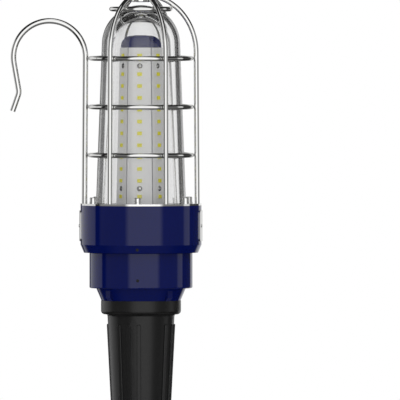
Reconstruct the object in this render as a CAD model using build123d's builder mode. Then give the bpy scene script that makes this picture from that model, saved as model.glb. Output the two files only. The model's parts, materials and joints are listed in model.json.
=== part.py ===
from build123d import *
import os
from math import atan, cos, degrees, radians, sin, sqrt

# A hand-held LED work light: a ribbed grip, a painted two-piece housing, a thick glass dome over a
# six-sided LED column, and a welded wire guard with a hanging hook.
# The lamp's axis is Z and the origin is the centre of the cable gland's mouth. Local angles run round
# the axis from the front (-Y) towards +X; the hook is on the -X side. All sizes are millimetres.

# ---- Heights above the gland's mouth ----
GRIP_BOTTOM = 20.0
COLLAR_BOTTOM = 144.2
HANDLE_TOP = 155.2
CONE_TOP = 165.2
DRIVER_TOP = 193.6
CHAMFER_TOP = 200.0
LAMP_TOP = 231.4
FLANGE_TOP = 232.9
BOARD_TOP = 357.6
CROWN_BOTTOM = 393.9
CROWN_TOP = 403.0

# ---- Handle ----
TUBE_BORE_R, TUBE_R, TUBE_MOUTH_R = 13.0, 17.0, 20.0
HEAD_R, HEAD_TOP = 27.0, 176.0
COLLAR_R, COLLAR_ROUND, NECK_ROUND, END_ROUND = 32.0, 3.0, 1.5, 1.2
GRIP_TOP_R, GRIP_BOTTOM_R = 26.9, 20.5
RIB_WIDTH, RIB_HEIGHT, RIB_BEVEL = 3.2, 0.9, 0.35
RIB_TOP, RIB_BOTTOM = 136.6, 30.0
RIB_GROUPS, RIBS_IN_GROUP, RIB_PITCH, BEVEL_ANGLE = 4, 3, 18.75, 45

# ---- Cable gland ----
CABLE_BORE_R = 4.75
NUT_HEX, GLAND_HEX = 30.0, 32.0
NUT_TOP, GLAND_THREAD_R, SEAL_R = 12.0, 12.0, 9.0
NUT_LIP, SEAL_BOTTOM, SEAL_TOP, SPIGOT_TOP = 3.0, 4.5, 16.0, 34.0
WASHER_PLAY = 0.1

# ---- Housings ----
LAMP_R, CHAMFER_R, DRIVER_R = 48.5, 45.8, 41.3
CONE_TOP_R, CONE_BOTTOM_R = 36.0, 31.7
JOINT_R, SPIGOT_END, CAVITY_R = 38.0, 209.0, 33.0
WEB_BOTTOM, WEB_TOP, WEB_R = 209.4, 215.4, 24.0
RECESS_R, RECESS_FLOOR, THROAT_R = 40.0, 223.4, 33.0
LUG_WIDTH, LUG_ROOT_R, LUG_R, LUG_EDGE = 5.1, 29.7, 35.2, 157.8
LUG_COUNT, LUG_START = 4, 45
DRIVER_FLOOR = 179.0
GRUB_R, GRUB_SUNK, GRUB_KEY, GRUB_KEY_DEPTH = 1.25, 0.7, 1.3, 1.5
DRIVER_ROUNDING, EDGE_BREAK = 1.0, 0.4
LAMP_GRUB_Z, DRIVER_GRUB_Z = 196.5, 171.8
ORING_R, GROOVE_DEPTH, GROOVE_WIDTH = 0.95, 1.9, 2.4
JOINT_GROOVE_Z, HEAD_GROOVE_Z = 204.5, 166.0

# ---- Rating plates ----
PLATE_BOTTOM, PLATE_TOP, PLATE_THICKNESS = 202.8, 227.3, 0.9
PLATE_START, PLATE_GAP, PLATE_CORNER = 76.5, 3.2, 2.5
RIVET_INSET, RIVET_R, RIVET_SHANK, RIVET_HEAD, RIVET_DEPTH = 5.8, 1.1, 0.8, 0.5, 2.6

# ---- Glass ----
GLASS_FOOT_R, GLASS_BASE_BORE_R, DOME_BORE_R = 39.5, 28.1, 21.8
DOME_R, DOME_CENTRE = 31.4, 360.2
GLASS_BASE_R = 36.1
GASKET_LOW, GASKET_HIGH = 1.5, 1.0

# ---- LED column, a six-sided taper ----
SIDES = 6
COLUMN_TOP_R, COLUMN_TAPER = 17.4, 0.0224
BOARD_THICKNESS, BOARD_GAP, BOARD_BOTTOM = 0.95, 0.8, 228.0
CORE_BOTTOM, CORE_BORE_R = 221.4, 9.0
CAP_HEIGHT, CAP_ROUND = 9.7, 8.5
CHIP_W, CHIP_H, CHIP_T = 3.5, 2.8, 0.8
CHIP_ROW_TOP, CHIP_PITCH, CHIPS_IN_ROW = 336.4, 9.464, 10
CHIP_END_HEIGHTS = (351.2, 238.6)
BOARD_SCREW_HEIGHTS = (343.0, 245.0)
BOARD_SCREW_R, BOARD_HEAD_R, BOARD_HEAD_H, BOARD_SCREW_DEPTH = 1.0, 2.2, 1.3, 4.0

# ---- Wire guard ----
WIRE_R, HOOK_WIRE_R, BITE = 2.0, 2.25, 0.01
GUARD_INNER_R = 36.7
ROD_FOOT_R, ROD_SHOULDER_R, SHOULDER_Z = 45.0, 44.2, 354.0
SHOULDER_ARC, SHOULDER_TURN = 50.0, 32.0
CROWN_ARC, CROWN_TURN = 42.0, 50.0
ROD_ANGLES = (-30, 30, 90, 150, -150)
HOOK_ANGLE = -90
TOP_RING_R, TOP_RING_Z = 23.5, 388.4
RING_HEIGHTS = {"guard_ring_upper": 349.0, "guard_ring_middle": 310.2, "guard_ring_lower": 271.6}
CROWN_R, CROWN_EDGE = 7.2, 0.6
HOOK_START_Z, HOOK_ARC, HOOK_INWARD = 349.8, 28.9, 9.9
HOOK_DROP, HOOK_BEND_R, HOOK_OUTWARD, HOOK_TIP = 21.5, 9.0, 19.3, 13.5

# ---- Fasteners ----
CLAMP_CIRCLE_R, CLAMP_COUNT = 42.7, 6
M3_R, M3_CLEAR_R, M3_HEAD_R, M3_HEAD_H = 1.5, 1.6, 2.75, 3.2
WASHER_R, WASHER_H, SPRING_R, SPRING_H, SPRING_SLIT = 3.1, 0.7, 2.8, 1.1, 0.5
HEX_KEY, HEX_DEPTH, HEAD_EDGE = 2.5, 1.6, 0.4
CLAMP_DEPTH, TRAY_SCREW_DEPTH, BASE_SCREW_DEPTH = 12.0, 8.0, 4.5
TRAY_CIRCLE_R, TRAY_COUNT, INNER_START = 29.5, 3, 60
TRAY_BOTTOM, TRAY_T, TRAY_R = 183.0, 1.5, 32.0
SPACER_R = 3.0
BASE_R, BASE_CIRCLE_R, BASE_COUNT = 32.8, 28.0, 3
CORE_CIRCLE_R, CORE_SCREW_R, CORE_SCREW_DEPTH, CORE_HEAD_R, CORE_HEAD_H = 12.8, 1.25, 10.0, 2.3, 2.0
PAN_HEAD_H = 2.0

# ---- Driver and terminals ----
DRIVER_SIZE, DRIVER_Y, DRIVER_ROUND = (44.0, 24.0, 16.0), 9.0, 2.0
BLOCK_SIZE, BLOCK_Y = (32.0, 11.0, 12.0), -15.5
WELL_R, WELL_DEPTH, WELL_PITCH, WELLS = 2.2, 4.0, 10.0, 3
WIRE_HOLE_R, WIRE_HOLE_Y = 3.0, -6.5
SLOT_W, SLOT_DEPTH = 0.6, 0.8

CLEAR = 1.0  # how far a cutting tool runs past a face
CLOSE = 0.01  # how near two sizes are that count as equal

os.makedirs("parts", exist_ok=True)


def save(builder, label):
    """Label a finished piece and write it as its own file."""
    builder.part.label = label
    export_step(builder.part, f"parts/{label}.step")


def front_angle(local):
    """The angle from +X of a local angle counted from the front."""
    return local - 90


def around(count, start=0):
    """Angles from +X of a ring of equal places, the first at a local angle."""
    return [front_angle(start + 360 * i / count) for i in range(count)]


def radial_plane(local):
    """An upright half plane through the axis: x runs outward, y runs up."""
    a = radians(front_angle(local))
    return Plane(origin=(0, 0, 0), x_dir=(cos(a), sin(a), 0), z_dir=(sin(a), -cos(a), 0))


def outward_plane(local, radius, height, tilt=0):
    """A plane that faces outward at a local angle, leaning up by tilt degrees."""
    a, t = radians(front_angle(local)), radians(tilt)
    return Plane(origin=(radius * cos(a), radius * sin(a), height),
                 x_dir=(-sin(a), cos(a), 0),
                 z_dir=(cos(a) * cos(t), sin(a) * cos(t), sin(t)))


def turn(*corners, mode=Mode.ADD):
    """Turn a half profile of (radius, height) corners about the axis."""
    with BuildSketch(Plane.XZ) as section:
        with BuildLine():
            Polyline(*corners, close=True)
        make_face()
    revolve(section.sketch, axis=Axis.Z, mode=mode)


def tube(outer, inner, bottom, top, mode=Mode.ADD):
    """A plain ring between two heights."""
    turn((inner, bottom), (outer, bottom), (outer, top), (inner, top), mode=mode)


def pegs(circle, angles, radius, bottom, top, mode=Mode.ADD):
    """Upright round pegs, or holes, on a circle."""
    with BuildSketch(Plane.XY.offset(bottom)) as dots:
        for angle in angles:
            with Locations((circle * cos(radians(angle)), circle * sin(radians(angle)))):
                Circle(radius)
    extrude(dots.sketch, amount=top - bottom, mode=mode)


def spoke(local, height, radius, start, end, mode=Mode.ADD):
    """A round peg, or hole, along a radius."""
    with BuildSketch(outward_plane(local, start, height)) as dot:
        Circle(radius)
    extrude(dot.sketch, amount=end - start, mode=mode)


def grub_screw(height, start, end):
    """A headless socket screw in the front, from one radius out to another."""
    spoke(0, height, GRUB_R, start, end)
    with BuildSketch(outward_plane(0, end, height)) as key:
        RegularPolygon(GRUB_KEY / 2, SIDES, major_radius=False)
    extrude(key.sketch, amount=-GRUB_KEY_DEPTH, mode=Mode.SUBTRACT)


def hex_prism(across_flats, bottom, top, mode=Mode.ADD):
    """An upright hexagon, sized across its flats."""
    with BuildSketch(Plane.XY.offset(bottom)) as hexagon:
        RegularPolygon(across_flats / 2, SIDES, major_radius=False)
    extrude(hexagon.sketch, amount=top - bottom, mode=mode)


def rim(builder, radius, height):
    """The circular edges of a piece at one radius and height."""
    circles = builder.edges().filter_by(GeomType.CIRCLE)
    at_radius = circles.filter_by(lambda e: abs(e.radius - radius) < CLOSE)
    return at_radius.filter_by(lambda e: abs(e.arc_center.Z - height) < CLOSE)


def column_radius(height):
    """Corner radius of the LED boards' outer faces."""
    return COLUMN_TOP_R + COLUMN_TAPER * (BOARD_TOP - height)


def hex_taper(inset, bottom, top, mode=Mode.ADD):
    """The column's six-sided taper between two heights, its flats moved in by inset."""
    for_flats = inset / cos(radians(180 / SIDES))
    with BuildSketch(Plane.XY.offset(bottom)) as low:
        RegularPolygon(column_radius(bottom) - for_flats, SIDES)
    with BuildSketch(Plane.XY.offset(top)) as high:
        RegularPolygon(column_radius(top) - for_flats, SIDES)
    loft([low.sketch, high.sketch], ruled=True, mode=mode)


tray_angles = around(TRAY_COUNT, INNER_START)
base_angles, core_screw_angles = around(BASE_COUNT, INNER_START), around(BASE_COUNT)
clamp_angles = around(CLAMP_COUNT)

# ---- Cable gland ----
with BuildPart() as gland_nut:
    hex_prism(NUT_HEX, 0, NUT_TOP)
    past_corner = NUT_HEX / sqrt(3) + CLEAR
    turn((NUT_HEX / 2, 0), (past_corner, 0), (past_corner, past_corner - NUT_HEX / 2),
         mode=Mode.SUBTRACT)
    tube(CABLE_BORE_R, 0, 0, NUT_LIP, mode=Mode.SUBTRACT)
    tube(GLAND_THREAD_R, 0, NUT_LIP, NUT_TOP, mode=Mode.SUBTRACT)
save(gland_nut, "gland_nut")

with BuildPart() as gland_washer:
    tube(GLAND_THREAD_R - WASHER_PLAY, CABLE_BORE_R, NUT_LIP, SEAL_BOTTOM)
save(gland_washer, "gland_washer")

with BuildPart() as gland_seal:
    tube(SEAL_R, CABLE_BORE_R, SEAL_BOTTOM, SEAL_TOP)
save(gland_seal, "gland_seal")

with BuildPart() as gland_body:
    hex_prism(GLAND_HEX, NUT_TOP, GRIP_BOTTOM)
    turn((0, SEAL_BOTTOM), (GLAND_THREAD_R, SEAL_BOTTOM), (GLAND_THREAD_R, NUT_TOP), (0, NUT_TOP))
    turn((0, GRIP_BOTTOM), (TUBE_BORE_R, GRIP_BOTTOM), (TUBE_BORE_R, SPIGOT_TOP), (0, SPIGOT_TOP))
    tube(SEAL_R, 0, SEAL_BOTTOM, SEAL_TOP, mode=Mode.SUBTRACT)
    tube(CABLE_BORE_R, 0, SEAL_TOP, SPIGOT_TOP, mode=Mode.SUBTRACT)
save(gland_body, "gland_body")

# ---- Handle ----
with BuildPart() as handle_tube:
    turn((TUBE_BORE_R, GRIP_BOTTOM), (TUBE_R, GRIP_BOTTOM), (TUBE_R, HANDLE_TOP), (HEAD_R, HANDLE_TOP),
         (HEAD_R, HEAD_TOP), (TUBE_MOUTH_R, HEAD_TOP), (TUBE_MOUTH_R, CONE_TOP),
         (TUBE_BORE_R, HANDLE_TOP))
    tube(HEAD_R, HEAD_R - GROOVE_DEPTH, HEAD_GROOVE_Z - GROOVE_WIDTH / 2,
         HEAD_GROOVE_Z + GROOVE_WIDTH / 2, mode=Mode.SUBTRACT)
save(handle_tube, "handle_tube")

grip_slope = (GRIP_TOP_R - GRIP_BOTTOM_R) / (COLLAR_BOTTOM - GRIP_BOTTOM)
grip_tilt = -degrees(atan(grip_slope))
with BuildPart() as handle_grip:
    turn((TUBE_R, GRIP_BOTTOM), (GRIP_BOTTOM_R, GRIP_BOTTOM), (GRIP_TOP_R, COLLAR_BOTTOM),
         (COLLAR_R, COLLAR_BOTTOM), (COLLAR_R, HANDLE_TOP), (TUBE_R, HANDLE_TOP))
    fillet(rim(handle_grip, COLLAR_R, COLLAR_BOTTOM), radius=COLLAR_ROUND)
    fillet(rim(handle_grip, GRIP_TOP_R, COLLAR_BOTTOM), radius=NECK_ROUND)
    fillet(rim(handle_grip, GRIP_BOTTOM_R, GRIP_BOTTOM), radius=END_ROUND)
    rib_middle = (RIB_TOP + RIB_BOTTOM) / 2
    rib_r = GRIP_BOTTOM_R + grip_slope * (rib_middle - GRIP_BOTTOM)
    for group in range(RIB_GROUPS):
        for rib in range(RIBS_IN_GROUP):
            rib_angle = 360 * group / RIB_GROUPS - rib * RIB_PITCH
            rib_plane = outward_plane(rib_angle, rib_r - CLEAR, rib_middle, grip_tilt)
            rib_side = CLEAR + RIB_HEIGHT - RIB_BEVEL
            with BuildSketch(rib_plane) as rib_foot:
                SlotOverall(RIB_TOP - RIB_BOTTOM, RIB_WIDTH, rotation=90)
            extrude(rib_foot.sketch, amount=rib_side)
            with BuildSketch(rib_plane.offset(rib_side)) as rib_crest:
                SlotOverall(RIB_TOP - RIB_BOTTOM, RIB_WIDTH, rotation=90)
            extrude(rib_crest.sketch, amount=RIB_BEVEL, taper=BEVEL_ANGLE)
save(handle_grip, "handle_grip")

with BuildPart() as handle_seal:
    with BuildSketch(Plane.XZ) as seal_section:
        with Locations((HEAD_R - ORING_R, HEAD_GROOVE_Z)):
            Circle(ORING_R)
    revolve(axis=Axis.Z)
save(handle_seal, "handle_seal")

# ---- Driver housing: cylinder, cone and lugs ----
with BuildPart() as driver_housing:
    turn((HEAD_R, HANDLE_TOP), (CONE_BOTTOM_R, HANDLE_TOP), (CONE_TOP_R, CONE_TOP), (DRIVER_R, CONE_TOP),
         (DRIVER_R, DRIVER_TOP), (JOINT_R, DRIVER_TOP), (JOINT_R, SPIGOT_END), (CAVITY_R, SPIGOT_END),
         (CAVITY_R, DRIVER_FLOOR), (WEB_R, DRIVER_FLOOR), (WEB_R, HEAD_TOP), (HEAD_R, HEAD_TOP))
    fillet(rim(driver_housing, DRIVER_R, CONE_TOP), radius=DRIVER_ROUNDING)
    chamfer(rim(driver_housing, DRIVER_R, DRIVER_TOP), length=EDGE_BREAK)
    for lug in range(LUG_COUNT):
        with BuildSketch(radial_plane(LUG_START + 360 * lug / LUG_COUNT)):
            with BuildLine():
                Polyline((LUG_ROOT_R, HANDLE_TOP), (LUG_R - (LUG_EDGE - HANDLE_TOP), HANDLE_TOP),
                         (LUG_R, LUG_EDGE), (LUG_R, CONE_TOP), (LUG_ROOT_R, CONE_TOP), close=True)
            make_face()
        extrude(amount=LUG_WIDTH / 2, both=True)
    tube(JOINT_R, JOINT_R - GROOVE_DEPTH, JOINT_GROOVE_Z - GROOVE_WIDTH / 2,
         JOINT_GROOVE_Z + GROOVE_WIDTH / 2, mode=Mode.SUBTRACT)
    spoke(0, DRIVER_GRUB_Z, GRUB_R, HEAD_R - CLEAR, DRIVER_R + CLEAR, mode=Mode.SUBTRACT)
    pegs(TRAY_CIRCLE_R, tray_angles, M3_R, DRIVER_FLOOR - TRAY_SCREW_DEPTH, DRIVER_FLOOR,
         mode=Mode.SUBTRACT)
save(driver_housing, "driver_housing")

with BuildPart() as handle_grub_screw:
    grub_screw(DRIVER_GRUB_Z, HEAD_R, DRIVER_R - GRUB_SUNK)
save(handle_grub_screw, "handle_grub_screw")

with BuildPart() as tray_spacers:
    pegs(TRAY_CIRCLE_R, tray_angles, SPACER_R, DRIVER_FLOOR, TRAY_BOTTOM)
    pegs(TRAY_CIRCLE_R, tray_angles, M3_R, DRIVER_FLOOR, TRAY_BOTTOM, mode=Mode.SUBTRACT)
save(tray_spacers, "tray_spacers")

tray_top = TRAY_BOTTOM + TRAY_T
with BuildPart() as driver_tray:
    tube(TRAY_R, 0, TRAY_BOTTOM, tray_top)
    pegs(TRAY_CIRCLE_R, tray_angles, M3_R, TRAY_BOTTOM, tray_top, mode=Mode.SUBTRACT)
    with BuildSketch(Plane.XY.offset(TRAY_BOTTOM)):
        with Locations((0, WIRE_HOLE_Y)):
            Circle(WIRE_HOLE_R)
    extrude(amount=TRAY_T, mode=Mode.SUBTRACT)
save(driver_tray, "driver_tray")

with BuildPart() as tray_screws:
    pegs(TRAY_CIRCLE_R, tray_angles, M3_R, DRIVER_FLOOR - TRAY_SCREW_DEPTH, tray_top)
    pegs(TRAY_CIRCLE_R, tray_angles, M3_HEAD_R, tray_top, tray_top + PAN_HEAD_H)
save(tray_screws, "tray_screws")

with BuildPart() as led_driver:
    with BuildSketch(Plane.XY.offset(tray_top)):
        with Locations((0, DRIVER_Y)):
            RectangleRounded(DRIVER_SIZE[0], DRIVER_SIZE[1], DRIVER_ROUND)
    extrude(amount=DRIVER_SIZE[2])
save(led_driver, "led_driver")

well_floor = tray_top + BLOCK_SIZE[2] - WELL_DEPTH
with BuildPart() as terminal_block:
    with BuildSketch(Plane.XY.offset(tray_top)):
        with Locations((0, BLOCK_Y)):
            Rectangle(BLOCK_SIZE[0], BLOCK_SIZE[1])
    extrude(amount=BLOCK_SIZE[2])
    with BuildSketch(Plane.XY.offset(well_floor)):
        with Locations((0, BLOCK_Y)):
            with GridLocations(WELL_PITCH, 0, WELLS, 1):
                Circle(WELL_R)
    extrude(amount=WELL_DEPTH, mode=Mode.SUBTRACT)
save(terminal_block, "terminal_block")

with BuildPart() as terminal_screws:
    with BuildSketch(Plane.XY.offset(well_floor)):
        with Locations((0, BLOCK_Y)):
            with GridLocations(WELL_PITCH, 0, WELLS, 1):
                Circle(WELL_R)
    extrude(amount=WELL_DEPTH / 2)
    with BuildSketch(Plane.XY.offset(well_floor + WELL_DEPTH / 2)):
        with Locations((0, BLOCK_Y)):
            with GridLocations(WELL_PITCH, 0, WELLS, 1):
                Rectangle(SLOT_W, 3 * WELL_R)
    extrude(amount=-SLOT_DEPTH, mode=Mode.SUBTRACT)
save(terminal_screws, "terminal_screws")

# ---- Lamp housing ----
plate_ends = (PLATE_START, 180 - PLATE_GAP / 2)
rivet_angles = (plate_ends[0] + RIVET_INSET, plate_ends[1] - RIVET_INSET)
rivet_z = (PLATE_BOTTOM + PLATE_TOP) / 2
rivet_foot, plate_r = LAMP_R - RIVET_DEPTH, LAMP_R + PLATE_THICKNESS

with BuildPart() as lamp_housing:
    turn((JOINT_R, DRIVER_TOP), (CHAMFER_R, DRIVER_TOP), (LAMP_R, CHAMFER_TOP), (LAMP_R, LAMP_TOP),
         (RECESS_R, LAMP_TOP), (RECESS_R, RECESS_FLOOR), (THROAT_R, RECESS_FLOOR), (THROAT_R, WEB_TOP),
         (WEB_R, WEB_TOP), (WEB_R, WEB_BOTTOM), (JOINT_R, WEB_BOTTOM))
    pegs(CLAMP_CIRCLE_R, clamp_angles, M3_R, LAMP_TOP - CLAMP_DEPTH, LAMP_TOP, mode=Mode.SUBTRACT)
    pegs(BASE_CIRCLE_R, base_angles, M3_R, WEB_TOP - BASE_SCREW_DEPTH, WEB_TOP,
         mode=Mode.SUBTRACT)
    spoke(0, LAMP_GRUB_Z, GRUB_R, JOINT_R - CLEAR, LAMP_R, mode=Mode.SUBTRACT)
    for side in (-1, 1):
        for angle in rivet_angles:
            spoke(side * angle, rivet_z, RIVET_SHANK, rivet_foot, LAMP_R + CLEAR, mode=Mode.SUBTRACT)
save(lamp_housing, "lamp_housing")

with BuildPart() as housing_grub_screw:
    grub_screw(LAMP_GRUB_Z, JOINT_R, CHAMFER_R - GRUB_SUNK)
save(housing_grub_screw, "housing_grub_screw")

with BuildPart() as housing_seal:
    with BuildSketch(Plane.XZ) as oring_section:
        with Locations((JOINT_R - ORING_R, JOINT_GROOVE_Z)):
            Circle(ORING_R)
    revolve(axis=Axis.Z)
save(housing_seal, "housing_seal")

# ---- Rating plates, blank, and their rivets ----
for name, side in (("rating_plate_right", 1), ("rating_plate_left", -1)):
    start = plate_ends[0] if side > 0 else -plate_ends[1]
    with BuildPart() as rating_plate:
        with BuildSketch(radial_plane(start)) as plate_section:
            with Locations((LAMP_R + PLATE_THICKNESS / 2, rivet_z)):
                Rectangle(PLATE_THICKNESS, PLATE_TOP - PLATE_BOTTOM)
        revolve(axis=Axis.Z, revolution_arc=plate_ends[1] - plate_ends[0])
        ends = rating_plate.edges().filter_by(GeomType.LINE)
        fillet(ends.filter_by(lambda e: e.length < 2 * PLATE_THICKNESS), radius=PLATE_CORNER)
        for angle in rivet_angles:
            spoke(side * angle, rivet_z, RIVET_SHANK, LAMP_R - CLEAR, plate_r + CLEAR, mode=Mode.SUBTRACT)
    save(rating_plate, name)

with BuildPart() as plate_rivets:
    for side in (-1, 1):
        for angle in rivet_angles:
            spoke(side * angle, rivet_z, RIVET_SHANK, rivet_foot, plate_r)
            spoke(side * angle, rivet_z, RIVET_R, plate_r, plate_r + RIVET_HEAD)
save(plate_rivets, "plate_rivets")

# ---- Glass dome and its gaskets ----
foot_bottom, foot_top = RECESS_FLOOR + GASKET_LOW, LAMP_TOP - GASKET_HIGH
with BuildPart() as glass_gasket_lower:
    tube(GLASS_FOOT_R, THROAT_R, RECESS_FLOOR, foot_bottom)
save(glass_gasket_lower, "glass_gasket_lower")

with BuildPart() as glass_gasket_upper:
    tube(GLASS_FOOT_R, GUARD_INNER_R, foot_top, LAMP_TOP)
save(glass_gasket_upper, "glass_gasket_upper")

with BuildPart() as glass_dome:
    with BuildSketch(Plane.XZ):
        with BuildLine():
            Line((0, DOME_CENTRE + DOME_BORE_R), (0, DOME_CENTRE + DOME_R))
            CenterArc((0, DOME_CENTRE), DOME_R, 0, 90)
            Polyline((DOME_R, DOME_CENTRE), (GLASS_BASE_R, FLANGE_TOP), (GLASS_BASE_R, foot_top),
                     (GLASS_FOOT_R, foot_top), (GLASS_FOOT_R, foot_bottom),
                     (GLASS_BASE_BORE_R, foot_bottom), (GLASS_BASE_BORE_R, FLANGE_TOP),
                     (DOME_BORE_R, DOME_CENTRE))
            CenterArc((0, DOME_CENTRE), DOME_BORE_R, 0, 90)
        make_face()
    revolve(axis=Axis.Z)
save(glass_dome, "glass_dome")

# ---- LED column ----
with BuildPart() as core_base:
    tube(BASE_R, WIRE_HOLE_R, WEB_TOP, CORE_BOTTOM)
    pegs(BASE_CIRCLE_R, base_angles, M3_R, WEB_TOP, CORE_BOTTOM, mode=Mode.SUBTRACT)
    pegs(CORE_CIRCLE_R, core_screw_angles, CORE_SCREW_R, WEB_TOP, CORE_BOTTOM, mode=Mode.SUBTRACT)
save(core_base, "core_base")

with BuildPart() as base_screws:
    pegs(BASE_CIRCLE_R, base_angles, M3_R, WEB_TOP - BASE_SCREW_DEPTH, CORE_BOTTOM)
    pegs(BASE_CIRCLE_R, base_angles, M3_HEAD_R, CORE_BOTTOM, CORE_BOTTOM + PAN_HEAD_H)
save(base_screws, "base_screws")

with BuildPart() as core_screws:
    pegs(CORE_CIRCLE_R, core_screw_angles, CORE_SCREW_R, WEB_TOP, CORE_BOTTOM + CORE_SCREW_DEPTH)
    pegs(CORE_CIRCLE_R, core_screw_angles, CORE_HEAD_R, WEB_TOP - CORE_HEAD_H, WEB_TOP)
save(core_screws, "core_screws")

flat = cos(radians(180 / SIDES))
face_tilt = degrees(atan(COLUMN_TAPER * flat))
face_locals = [360 * i / SIDES for i in range(SIDES)]


def face_plane(local, height):
    """The plane of one board's outer face at a height."""
    return outward_plane(local, column_radius(height) * flat, height, face_tilt)


with BuildPart() as led_core:
    hex_taper(BOARD_THICKNESS, CORE_BOTTOM, BOARD_TOP)
    tube(CORE_BORE_R, 0, CORE_BOTTOM, BOARD_TOP, mode=Mode.SUBTRACT)
    pegs(CORE_CIRCLE_R, core_screw_angles, CORE_SCREW_R, CORE_BOTTOM, CORE_BOTTOM + CORE_SCREW_DEPTH,
         mode=Mode.SUBTRACT)
    for local in face_locals:
        for height in BOARD_SCREW_HEIGHTS:
            with BuildSketch(face_plane(local, height)):
                Circle(BOARD_SCREW_R)
            extrude(amount=-(BOARD_THICKNESS + BOARD_SCREW_DEPTH), mode=Mode.SUBTRACT)
save(led_core, "led_core")

with BuildPart() as core_cap:
    with BuildSketch(Plane.XY.offset(BOARD_TOP)):
        RegularPolygon(column_radius(BOARD_TOP) - BOARD_THICKNESS / flat, SIDES)
    extrude(amount=CAP_HEIGHT)
    fillet(core_cap.faces().sort_by(Axis.Z)[-1].edges(), radius=CAP_ROUND)
    tube(CORE_BORE_R, 0, BOARD_TOP - CAP_HEIGHT, BOARD_TOP)
save(core_cap, "core_cap")

chip_heights = [*CHIP_END_HEIGHTS, *(CHIP_ROW_TOP - CHIP_PITCH * i for i in range(CHIPS_IN_ROW))]
wedge_reach = 3 * COLUMN_TOP_R

for number, local in enumerate(face_locals, start=1):
    facing = front_angle(local)
    tip = Vector(1, 0).rotate(Axis.Z, facing) * BOARD_GAP
    wedge_corners = [tip + Vector(wedge_reach, 0).rotate(Axis.Z, facing + turn_by)
                     for turn_by in (-180 / SIDES, 180 / SIDES)]
    with BuildPart() as led_board:
        hex_taper(0, BOARD_BOTTOM, BOARD_TOP)
        hex_taper(BOARD_THICKNESS, BOARD_BOTTOM, BOARD_TOP, mode=Mode.SUBTRACT)
        with BuildSketch(Plane.XY.offset(BOARD_BOTTOM)):
            with BuildLine():
                Polyline(tip, *wedge_corners, close=True)
            make_face()
        extrude(amount=BOARD_TOP - BOARD_BOTTOM, mode=Mode.INTERSECT)
        for height in BOARD_SCREW_HEIGHTS:
            with BuildSketch(face_plane(local, height)):
                Circle(BOARD_SCREW_R)
            extrude(amount=-2 * BOARD_THICKNESS, mode=Mode.SUBTRACT)
    save(led_board, f"led_board_{number}")

    with BuildPart() as led_chips:
        for height in chip_heights:
            with BuildSketch(face_plane(local, height)):
                Rectangle(CHIP_W, CHIP_H)
            extrude(amount=CHIP_T)
    save(led_chips, f"led_chips_{number}")

head_ball_r = (BOARD_HEAD_R**2 + BOARD_HEAD_H**2) / (2 * BOARD_HEAD_H)
with BuildPart() as board_screws:
    for local in face_locals:
        for height in BOARD_SCREW_HEIGHTS:
            head_plane = face_plane(local, height)
            with BuildSketch(head_plane):
                Circle(BOARD_SCREW_R)
            extrude(amount=-(BOARD_THICKNESS + BOARD_SCREW_DEPTH))
            with BuildSketch(Plane(origin=head_plane.origin, x_dir=head_plane.x_dir,
                                   z_dir=-head_plane.y_dir)):
                with BuildLine():
                    Line((0, 0), (BOARD_HEAD_R, 0))
                    RadiusArc((BOARD_HEAD_R, 0), (0, BOARD_HEAD_H), -head_ball_r)
                    Line((0, BOARD_HEAD_H), (0, 0))
                make_face()
            revolve(axis=Axis(head_plane.origin, head_plane.z_dir))
save(board_screws, "board_screws")

# ---- Wire guard: base flange and its screws ----
washer_top = FLANGE_TOP + WASHER_H
head_bottom = washer_top + SPRING_H

with BuildPart() as guard_base_flange:
    tube(LAMP_R, GUARD_INNER_R, LAMP_TOP, FLANGE_TOP)
    pegs(CLAMP_CIRCLE_R, clamp_angles, M3_CLEAR_R, LAMP_TOP, FLANGE_TOP, mode=Mode.SUBTRACT)
save(guard_base_flange, "guard_base_flange")

with BuildPart() as clamp_washers:
    pegs(CLAMP_CIRCLE_R, clamp_angles, WASHER_R, FLANGE_TOP, washer_top)
    pegs(CLAMP_CIRCLE_R, clamp_angles, M3_CLEAR_R, FLANGE_TOP, washer_top, mode=Mode.SUBTRACT)
save(clamp_washers, "clamp_washers")

with BuildPart() as spring_washers:
    pegs(CLAMP_CIRCLE_R, clamp_angles, SPRING_R, washer_top, head_bottom)
    pegs(CLAMP_CIRCLE_R, clamp_angles, M3_CLEAR_R, washer_top, head_bottom, mode=Mode.SUBTRACT)
    with BuildSketch(Plane.XY.offset(washer_top)):
        for angle in clamp_angles:
            place = Vector(CLAMP_CIRCLE_R + SPRING_R / 2, 0).rotate(Axis.Z, angle)
            with Locations(Location(place, (0, 0, angle))):
                Rectangle(SPRING_R, SPRING_SLIT)
    extrude(amount=SPRING_H, mode=Mode.SUBTRACT)
save(spring_washers, "spring_washers")

with BuildPart() as clamp_screws:
    pegs(CLAMP_CIRCLE_R, clamp_angles, M3_R, LAMP_TOP - CLAMP_DEPTH, head_bottom)
    pegs(CLAMP_CIRCLE_R, clamp_angles, M3_HEAD_R, head_bottom, head_bottom + M3_HEAD_H)
    head_rims = clamp_screws.faces().sort_by(Axis.Z)[-CLAMP_COUNT:].edges()
    chamfer(head_rims, length=HEAD_EDGE)
    with BuildSketch(Plane.XY.offset(head_bottom + M3_HEAD_H)):
        for angle in clamp_angles:
            with Locations(Vector(CLAMP_CIRCLE_R, 0).rotate(Axis.Z, angle)):
                RegularPolygon(HEX_KEY / 2, SIDES, major_radius=False)
    extrude(amount=-HEX_DEPTH, mode=Mode.SUBTRACT)
save(clamp_screws, "clamp_screws")

# ---- Wire guard: crown, rods, rings and hook ----
rod_lean = (ROD_FOOT_R - ROD_SHOULDER_R) / (SHOULDER_Z - FLANGE_TOP)


def rod_radius(height):
    """Distance from the axis to a rod's centre line below the shoulder."""
    return ROD_SHOULDER_R + rod_lean * (SHOULDER_Z - height)


def wire(path, radius):
    """Round wire along a path."""
    with BuildSketch(Plane(origin=path.line @ 0, z_dir=path.line % 0)) as section:
        Circle(radius)
    sweep(section.sketch, path=path.line)


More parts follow.
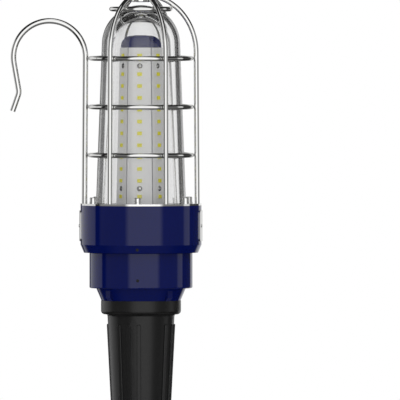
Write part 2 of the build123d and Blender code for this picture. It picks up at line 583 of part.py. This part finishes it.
with BuildPart() as crown_boss:
    tube(CROWN_R, 0, CROWN_BOTTOM, CROWN_TOP)
    chamfer(crown_boss.edges().filter_by(GeomType.CIRCLE), length=CROWN_EDGE)
save(crown_boss, "crown_boss")

rod_start_z = FLANGE_TOP - 2 * WIRE_R
for number, local in enumerate(ROD_ANGLES, start=1):
    with BuildPart() as guard_rod:
        with BuildLine(radial_plane(local)) as rod_path:
            leg = Line((rod_radius(rod_start_z), rod_start_z), (ROD_SHOULDER_R, SHOULDER_Z))
            shoulder = JernArc(leg @ 1, leg % 1, SHOULDER_ARC, SHOULDER_TURN)
            JernArc(shoulder @ 1, shoulder % 1, CROWN_ARC, CROWN_TURN)
        wire(rod_path, WIRE_R)
        split(bisect_by=Plane.XY.offset(FLANGE_TOP), keep=Keep.TOP)
        tube(CROWN_R, 0, CROWN_BOTTOM, CROWN_TOP, mode=Mode.SUBTRACT)
    save(guard_rod, f"guard_rod_{number}")

guard_rings = {"guard_ring_top": (TOP_RING_R, TOP_RING_Z)}
for name, height in RING_HEIGHTS.items():
    guard_rings[name] = (rod_radius(height) - 2 * WIRE_R + BITE, height)
for name, (radius, height) in guard_rings.items():
    with BuildPart() as guard_ring:
        with BuildSketch(Plane.XZ):
            with Locations((radius, height)):
                Circle(WIRE_R)
        revolve(axis=Axis.Z)
    save(guard_ring, name)

hook_shift = HOOK_WIRE_R - WIRE_R
with BuildPart() as hook_rod:
    with BuildLine(radial_plane(HOOK_ANGLE)) as hook_path:
        leg = Line((rod_radius(rod_start_z) + hook_shift, rod_start_z),
                   (rod_radius(HOOK_START_Z) + hook_shift, HOOK_START_Z))
        over = JernArc(leg @ 1, leg % 1, HOOK_ARC, -(180 + HOOK_INWARD + degrees(atan(rod_lean))))
        drop = PolarLine(over @ 1, HOOK_DROP, direction=over % 1)
        bend = JernArc(drop @ 1, drop % 1, HOOK_BEND_R, HOOK_INWARD + HOOK_OUTWARD)
        PolarLine(bend @ 1, HOOK_TIP, direction=bend % 1)
    wire(hook_path, HOOK_WIRE_R)
    split(bisect_by=Plane.XY.offset(FLANGE_TOP), keep=Keep.TOP)
save(hook_rod, "hook_rod")
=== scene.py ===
import json
import math

import bpy
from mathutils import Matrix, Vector


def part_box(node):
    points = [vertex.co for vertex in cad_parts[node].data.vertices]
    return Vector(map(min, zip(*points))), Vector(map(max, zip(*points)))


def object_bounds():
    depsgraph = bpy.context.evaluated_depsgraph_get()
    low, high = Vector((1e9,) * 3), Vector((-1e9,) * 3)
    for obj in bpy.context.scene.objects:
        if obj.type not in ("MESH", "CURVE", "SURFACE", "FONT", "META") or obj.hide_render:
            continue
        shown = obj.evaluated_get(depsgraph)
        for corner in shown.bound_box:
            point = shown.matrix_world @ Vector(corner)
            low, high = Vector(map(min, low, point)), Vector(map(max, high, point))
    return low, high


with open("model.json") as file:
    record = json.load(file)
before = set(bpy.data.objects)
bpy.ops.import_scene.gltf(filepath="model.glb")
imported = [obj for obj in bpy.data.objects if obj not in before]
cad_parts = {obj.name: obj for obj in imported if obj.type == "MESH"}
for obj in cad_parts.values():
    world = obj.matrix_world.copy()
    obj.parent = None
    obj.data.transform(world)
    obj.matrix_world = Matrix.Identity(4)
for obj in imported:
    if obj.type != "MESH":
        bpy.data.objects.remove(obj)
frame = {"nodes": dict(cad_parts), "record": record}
nodes = frame["nodes"]
cad_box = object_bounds()

# ---- Shader tools ----

# A Mix node has sockets of the same name for each kind of data, so they are picked by number
COLOUR_A, COLOUR_B, MIXED_COLOUR = 6, 7, 2
NUMBER_A, NUMBER_B, MIXED_NUMBER = 2, 3, 0
# Nearly all of a noise texture's values lie between these
NOISE_LOW, NOISE_HIGH = 0.3, 0.7
# The height in metres of a bump of strength 1
BUMP_DEPTH = 0.0002


def fill_ramp(ramp, stops):
    """Sets a colour ramp's stops, given as (place from 0 to 1, brightness)."""
    elements = ramp.color_ramp.elements
    for place, bright in stops:
        element = {0: elements[0], 1: elements[-1]}.get(place) or elements.new(place)
        element.color = (bright, bright, bright, 1)


class Shader:
    """One material's node tree, with short calls for the nodes that the finishes share."""

    def __init__(self, name, **values):
        self.material = bpy.data.materials.new(name)
        self.material.use_nodes = True
        self.tree = self.material.node_tree
        self.main = self.tree.nodes["Principled BSDF"]
        for socket, value in values.items():
            self.main.inputs[socket.replace("_", " ")].default_value = value

    def node(self, kind, **values):
        """A new node, with its inputs or its own settings given by name."""
        made = self.tree.nodes.new(kind)
        for name, value in values.items():
            if name in made.inputs:
                made.inputs[name].default_value = value
            else:
                setattr(made, name, value)
        return made

    def link(self, source, target):
        self.tree.links.new(source, target)

    def place(self, squeeze):
        """Object coordinates in metres, squeezed along an axis for grain that runs across it."""
        spot = self.node("ShaderNodeTexCoord")
        mapping = self.node("ShaderNodeMapping")
        mapping.inputs["Scale"].default_value = squeeze
        self.link(spot.outputs["Object"], mapping.inputs["Vector"])
        return mapping.outputs["Vector"]

    def noise(self, scale, detail=3.0, squeeze=(1, 1, 1)):
        """A noise texture of that many lumps to the metre."""
        grain = self.node("ShaderNodeTexNoise", Scale=scale, Detail=detail)
        self.link(self.place(squeeze), grain.inputs["Vector"])
        return grain.outputs["Fac"]

    def spread(self, value, low, high):
        """Maps a noise texture's value to low..high."""
        ends = {"From Min": NOISE_LOW, "From Max": NOISE_HIGH, "To Min": low, "To Max": high}
        span = self.node("ShaderNodeMapRange")
        for socket, number in ends.items():
            span.inputs[socket].default_value = number
        self.link(value, span.inputs["Value"])
        return span.outputs["Result"]

    def tint(self, value, dark, light):
        """Makes the base colour one between two, by a texture's value."""
        mix = self.node("ShaderNodeMix", data_type="RGBA")
        mix.inputs[COLOUR_A].default_value = (*dark, 1)
        mix.inputs[COLOUR_B].default_value = (*light, 1)
        self.link(value, mix.inputs[0])
        self.link(mix.outputs[MIXED_COLOUR], self.main.inputs["Base Color"])

    def calculate(self, operation, *values):
        """A sum on texture values or plain numbers."""
        step = self.node("ShaderNodeMath", operation=operation)
        for socket, value in enumerate(values):
            if isinstance(value, bpy.types.NodeSocket):
                self.link(value, step.inputs[socket])
            else:
                step.inputs[socket].default_value = value
        return step.outputs["Value"]

    def roughness(self, value, low, high):
        """Varies the roughness between two values, by a texture's value."""
        self.link(self.spread(value, low, high), self.main.inputs["Roughness"])

    def bump(self, value, strength):
        """Raises the surface a little by a texture's value."""
        bump = self.node("ShaderNodeBump", Strength=strength, Distance=BUMP_DEPTH)
        self.link(value, bump.inputs["Height"])
        self.link(bump.outputs["Normal"], self.main.inputs["Normal"])


# ---- Finishes ----


def bright_metal(name, dark, light, rough):
    """Polished metal with faint waves and a few duller patches."""
    shader = Shader(name, Metallic=1.0)
    shader.tint(shader.noise(scale=60), dark, light)
    shader.roughness(shader.noise(scale=900, detail=2), *rough)
    shader.bump(shader.noise(scale=1500, detail=2), strength=0.01)
    return shader.material


def brushed_metal(name, dark, light):
    """Metal with fine level marks, as from turning."""
    shader = Shader(name, Metallic=1.0)
    streaks = shader.noise(scale=500, detail=4, squeeze=(1, 1, 14))
    shader.tint(streaks, dark, light)
    shader.roughness(streaks, 0.2, 0.34)
    shader.bump(streaks, strength=0.06)
    return shader.material


def navy_enamel():
    """Dark blue paint under a glossy clear coat."""
    shader = Shader("navy_enamel", Coat_Weight=1.0, Coat_Roughness=0.02, Coat_IOR=1.386,
                    Specular_IOR_Level=0.0)
    shader.tint(shader.noise(scale=45, detail=4), (0.0010, 0.0045, 0.074), (0.0014, 0.0058, 0.088))
    shader.roughness(shader.noise(scale=700, detail=3), 0.35, 0.5)
    shader.bump(shader.noise(scale=260, detail=1), strength=0.015)
    return shader.material


def grip_plastic():
    """Black plastic with a fine spark-eroded grain."""
    shader = Shader("grip_plastic", Specular_IOR_Level=0.36)
    grain = shader.noise(scale=1400, detail=2)
    shader.tint(shader.noise(scale=80), (0.007, 0.007, 0.007), (0.010, 0.010, 0.010))
    shader.roughness(grain, 0.28, 0.4)
    shader.bump(grain, strength=0.12)
    return shader.material


def moulded(name, dark, light, rough=(0.35, 0.5)):
    """Moulded plastic or rubber with a fine grain."""
    shader = Shader(name)
    grain = shader.noise(scale=900, detail=2)
    shader.tint(shader.noise(scale=70), dark, light)
    shader.roughness(grain, *rough)
    shader.bump(grain, strength=0.08)
    return shader.material


# The round top of the glass dome has this radius outside. The second radius lies inside the dome's wall
# all the way up.
DOME_R, MID_WALL = 0.0314, 0.0297
DOME_CENTRE_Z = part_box("glass_dome")[1].z - DOME_R
# The outer surface's colour, by how far it turns from face-on (0) to edge-on (1): tint, then painted shade
GLASS_TINT_AND_PAINTED_EDGE_SHADE = ((0.0, 0.93), (0.45, 0.93), (0.50, 0.02), (0.62, 0.012), (0.72, 0.15), (1.0, 0.15))


def thick_glass():
    """Clear glass, its wall's edge darkened by painted shade, letting light through to what it covers."""
    shader = Shader("thick_glass", Transmission_Weight=1.0, IOR=1.5)
    shader.roughness(shader.noise(scale=30, detail=2), 0.0, 0.004)
    shader.bump(shader.noise(scale=18, detail=1), strength=0.001)
    # The distance from the dome's centre in its round top, and from its axis below that
    spot = shader.node("ShaderNodeTexCoord")
    split = shader.node("ShaderNodeSeparateXYZ")
    shader.link(spot.outputs["Object"], split.inputs[0])
    over = shader.calculate("MAXIMUM", shader.calculate("SUBTRACT", split.outputs["Z"], DOME_CENTRE_Z), 0.0)
    reach = shader.node("ShaderNodeCombineXYZ")
    for axis, source in zip("XYZ", (split.outputs["X"], split.outputs["Y"], over)):
        shader.link(source, reach.inputs[axis])
    radius = shader.node("ShaderNodeVectorMath", operation="LENGTH")
    shader.link(reach.outputs["Vector"], radius.inputs[0])
    # Shade is painted on the outer surface only; the inner one keeps the face-on tint
    outside = shader.calculate("GREATER_THAN", radius.outputs["Value"], MID_WALL)
    facing = shader.node("ShaderNodeLayerWeight", Blend=0.5)
    painted_edge_shade = shader.node("ShaderNodeValToRGB")
    fill_ramp(painted_edge_shade, GLASS_TINT_AND_PAINTED_EDGE_SHADE)
    # Painted shade: the glass's colour darkens as the outer surface turns edge-on
    shader.link(shader.calculate("MULTIPLY", facing.outputs["Facing"], outside), painted_edge_shade.inputs["Fac"])
    shader.link(painted_edge_shade.outputs["Color"], shader.main.inputs["Base Color"])
    # A ray on its way to a light, or from a dull surface, goes straight through
    path = shader.node("ShaderNodeLightPath")
    passing = shader.calculate("MAXIMUM", path.outputs["Is Shadow Ray"], path.outputs["Is Diffuse Ray"])
    clear = shader.node("ShaderNodeBsdfTransparent", Color=(1, 1, 1, 1))
    mix = shader.node("ShaderNodeMixShader")
    shader.link(passing, mix.inputs["Fac"])
    shader.link(shader.main.outputs["BSDF"], mix.inputs[1])
    shader.link(clear.outputs["BSDF"], mix.inputs[2])
    shader.link(mix.outputs["Shader"], shader.tree.nodes["Material Output"].inputs["Surface"])
    return shader.material


def solder_mask():
    """The boards' white lacquer, slightly glossy."""
    shader = Shader("solder_mask", Coat_Weight=0.25, Coat_Roughness=0.15)
    shader.tint(shader.noise(scale=35), (0.73, 0.73, 0.725), (0.78, 0.78, 0.775))
    shader.roughness(shader.noise(scale=800, detail=2), 0.35, 0.5)
    shader.bump(shader.noise(scale=1200, detail=2), strength=0.04)
    return shader.material


def phosphor():
    """The yellow, slightly grainy filling of an LED that isn't lit."""
    shader = Shader("phosphor", Specular_IOR_Level=0.05)
    shader.tint(shader.noise(scale=900), (0.76, 0.71, 0.035), (0.84, 0.78, 0.05))
    shader.roughness(shader.noise(scale=1500, detail=2), 0.3, 0.45)
    shader.bump(shader.noise(scale=2500, detail=2), strength=0.02)
    return shader.material


# One finish for each material slot of the record
finishes = {
    "chrome_bright": bright_metal("polished_steel", (0.74, 0.74, 0.73), (0.82, 0.82, 0.81), (0.015, 0.05)),
    "stainless": brushed_metal("stainless", (0.52, 0.52, 0.51), (0.66, 0.66, 0.65)),
    "plate_steel": bright_metal("plate_steel", (0.56, 0.56, 0.55), (0.66, 0.66, 0.65), (0.04, 0.09)),
    "screw_dark": brushed_metal("black_oxide", (0.012, 0.012, 0.013), (0.03, 0.03, 0.032)),
    "aluminium_plain": brushed_metal("aluminium", (0.6, 0.6, 0.61), (0.74, 0.74, 0.75)),
    "driver_case": brushed_metal("driver_case", (0.45, 0.46, 0.48), (0.58, 0.59, 0.61)),
    "brass_screw": brushed_metal("brass", (0.62, 0.46, 0.2), (0.76, 0.6, 0.3)),
    "paint_navy": navy_enamel(),
    "grip_black": grip_plastic(),
    "nylon_black": moulded("nylon", (0.02, 0.02, 0.02), (0.03, 0.03, 0.03)),
    "rubber_black": moulded("rubber", (0.012, 0.012, 0.012), (0.02, 0.02, 0.02), (0.6, 0.75)),
    "silicone_white": moulded("silicone", (0.74, 0.74, 0.72), (0.84, 0.84, 0.82), (0.5, 0.6)),
    "terminal_plastic": moulded("terminal_plastic", (0.72, 0.70, 0.64), (0.82, 0.80, 0.74)),
    "clear_glass": thick_glass(),
    "board_white": solder_mask(),
    "led_yellow": phosphor(),
}
# The board screws are a darker steel than the other pieces of their slot
screw_steel = bright_metal("screw_steel", (0.50, 0.50, 0.49), (0.60, 0.60, 0.59), (0.015, 0.05))
own_finishes = {"board_screws": screw_steel}
for part in frame["record"]["subparts"]:
    mesh = nodes[part["node"]].data
    mesh.materials.clear()
    mesh.materials.append(own_finishes.get(part["node"], finishes[part["material_slot"]]))

# ---- Studio: pale floor, surround of soft panels, camera ----

# Half the side of the square floor, and how far it lies under the lamp's lowest face, in metres
FLOOR_HALF, FLOOR_GAP = 0.9, 0.0005
# Where the camera stands as the lamp sees it: this far from -Y towards +X, and this far up
CAMERA_AZIMUTH, CAMERA_ELEVATION = math.radians(3.5), math.radians(1.0)
# The lens, long enough that the view is nearly free of perspective, and the sensor's width, in millimetres
LENS, SENSOR = 1500.0, 36.0
# The width that the picture takes in at the lamp, and its middle beside and above the origin, in metres
FRAME_WIDTH = 0.320
AIM_RIGHT, AIM_HEIGHT = 0.0472, 0.2356

floor_mesh = bpy.data.meshes.new("floor")
corners = [(x * FLOOR_HALF, y * FLOOR_HALF, 0) for x, y in ((-1, -1), (1, -1), (1, 1), (-1, 1))]
floor_mesh.from_pydata(corners, [], [(0, 1, 2, 3)])
floor = bpy.data.objects.new("floor", floor_mesh)
floor.location.z = cad_box[0].z - FLOOR_GAP
bpy.context.scene.collection.objects.link(floor)
floor_shader = Shader("pale_floor", Roughness=0.6)
floor_shader.tint(floor_shader.noise(scale=6), (0.78, 0.78, 0.78), (0.82, 0.82, 0.82))
floor_mesh.materials.append(floor_shader.material)
# The surround stands in for the floor in reflections and through the glass
floor.visible_glossy = floor.visible_transmission = False


# The panels round the lamp, as (degrees from the camera's direction towards +X, brightness) at their edges
AROUND = ((-180, 0.90), (-172, 0.90), (-166, 0.12), (-155, 0.12), (-151, 0.82), (-99, 0.78), (-96, 0.02),
          (-88, 0.02), (-82, 0.245), (-31, 0.245), (-22.5, 1.30), (36, 1.30), (44, 0.245), (84, 0.20),
          (88, 0.20), (92, 0.80), (105, 0.80), (108, 0.06), (143, 0.06), (147, 0.92), (180, 0.90))
# The same panels as they show through the glass, with fewer and paler dark ones
THROUGH_GLASS = ((-180, 0.92), (-99, 0.84), (-96, 0.10), (-88, 0.10), (-82, 0.245), (-31, 0.245),
                 (-22.5, 1.30), (36, 1.30), (44, 0.245), (84, 0.20), (92, 0.80), (112, 0.80), (116, 0.25),
                 (127, 0.25), (132, 0.92), (180, 0.92))
# Above and below those panels: dark, but for the panel in front
SKY = ((-180, 0.02), (-32, 0.02), (-22.5, 0.95), (36, 0.95), (45, 0.02), (180, 0.02))
# Where the pit, the low zone, the panels and the sky pass into each other, as sines of the height
PIT_EDGE, LOW_EDGE, SKY_EDGE = (-0.72, -0.56), (-0.34, -0.20), (0.30, 0.46)
# The brightness of the pit, and of the sky as dull surfaces are lit by it
PIT, SKYLIGHT = 0.16, 1.0


def studio_world():
    """Soft panels round the lamp, with a sky above them, a low zone below them and a dim pit under that.

    Dull surfaces are lit by an even sky, and the camera itself sees white.
    """
    world = bpy.data.worlds.new("studio")
    bpy.context.scene.world = world
    world.use_nodes = True
    tree = world.node_tree
    tree.nodes.clear()

    def feed(made, socket, source):
        """Links a socket to an input, or sets the input to a plain value."""
        if isinstance(source, bpy.types.NodeSocket):
            tree.links.new(source, made.inputs[socket])
        else:
            made.inputs[socket].default_value = source

    def add(kind, *sources, **values):
        """A new node, with its first inputs fed in order and its settings given by name."""
        made = tree.nodes.new(kind)
        for name, value in values.items():
            setattr(made, name, value)
        for socket, source in enumerate(sources):
            feed(made, socket, source)
        return made

    def blend(share, low, high):
        """Mixes two brightnesses."""
        mix = add("ShaderNodeMix", share, data_type="FLOAT")
        feed(mix, NUMBER_A, low)
        feed(mix, NUMBER_B, high)
        return mix.outputs[MIXED_NUMBER]

    spot = add("ShaderNodeTexCoord")
    turned = add("ShaderNodeMapping", spot.outputs["Generated"])
    turned.inputs["Rotation"].default_value = (0, 0, math.pi / 2 - CAMERA_AZIMUTH)
    split = add("ShaderNodeSeparateXYZ", turned.outputs["Vector"])
    angle = add("ShaderNodeMath", split.outputs["Y"], split.outputs["X"], operation="ARCTAN2")
    share = add("ShaderNodeMapRange", angle.outputs["Value"], -math.pi, math.pi)

    def ring(stops):
        """Brightness by direction round the lamp, from stops in degrees."""
        panels = add("ShaderNodeValToRGB", share.outputs["Result"])
        fill_ramp(panels, [((degrees + 180) / 360, bright) for degrees, bright in stops])
        return panels.outputs["Color"]

    def above(edge):
        """0 below a band of heights and 1 above it, with a smooth step between."""
        step = add("ShaderNodeMapRange", split.outputs["Z"], *edge, interpolation_type="SMOOTHSTEP")
        return step.outputs["Result"]

    seen = add("ShaderNodeLightPath")
    level = blend(seen.outputs["Is Transmission Ray"], ring(AROUND), ring(THROUGH_GLASS))
    front_only = ring(SKY)
    bright = blend(above(PIT_EDGE), PIT, front_only)
    bright = blend(above(LOW_EDGE), bright, level)
    overhead = blend(seen.outputs["Is Diffuse Ray"], front_only, SKYLIGHT)
    bright = blend(above(SKY_EDGE), bright, overhead)
    room = add("ShaderNodeBackground", bright).outputs["Background"]
    white = add("ShaderNodeBackground", (1, 1, 1, 1)).outputs["Background"]
    mix = add("ShaderNodeMixShader", seen.outputs["Is Camera Ray"], room, white)
    add("ShaderNodeOutputWorld", mix.outputs["Shader"])


studio_world()
bpy.context.scene.view_settings.view_transform = "Standard"

camera_data = bpy.data.cameras.new("camera")
camera_data.lens, camera_data.sensor_width = LENS, SENSOR
camera = bpy.data.objects.new("camera", camera_data)
bpy.context.scene.collection.objects.link(camera)
level_share = math.cos(CAMERA_ELEVATION)
backward = Vector((math.sin(CAMERA_AZIMUTH) * level_share, -math.cos(CAMERA_AZIMUTH) * level_share,
                   math.sin(CAMERA_ELEVATION)))
rightward = Vector((math.cos(CAMERA_AZIMUTH), math.sin(CAMERA_AZIMUTH), 0))
distance = FRAME_WIDTH * LENS / SENSOR
camera.location = Vector((0, 0, AIM_HEIGHT)) + rightward * AIM_RIGHT + backward * distance
camera.rotation_euler = (-backward).to_track_quat("-Z", "Y").to_euler()
camera_data.clip_end = 2 * distance
bpy.context.scene.camera = camera
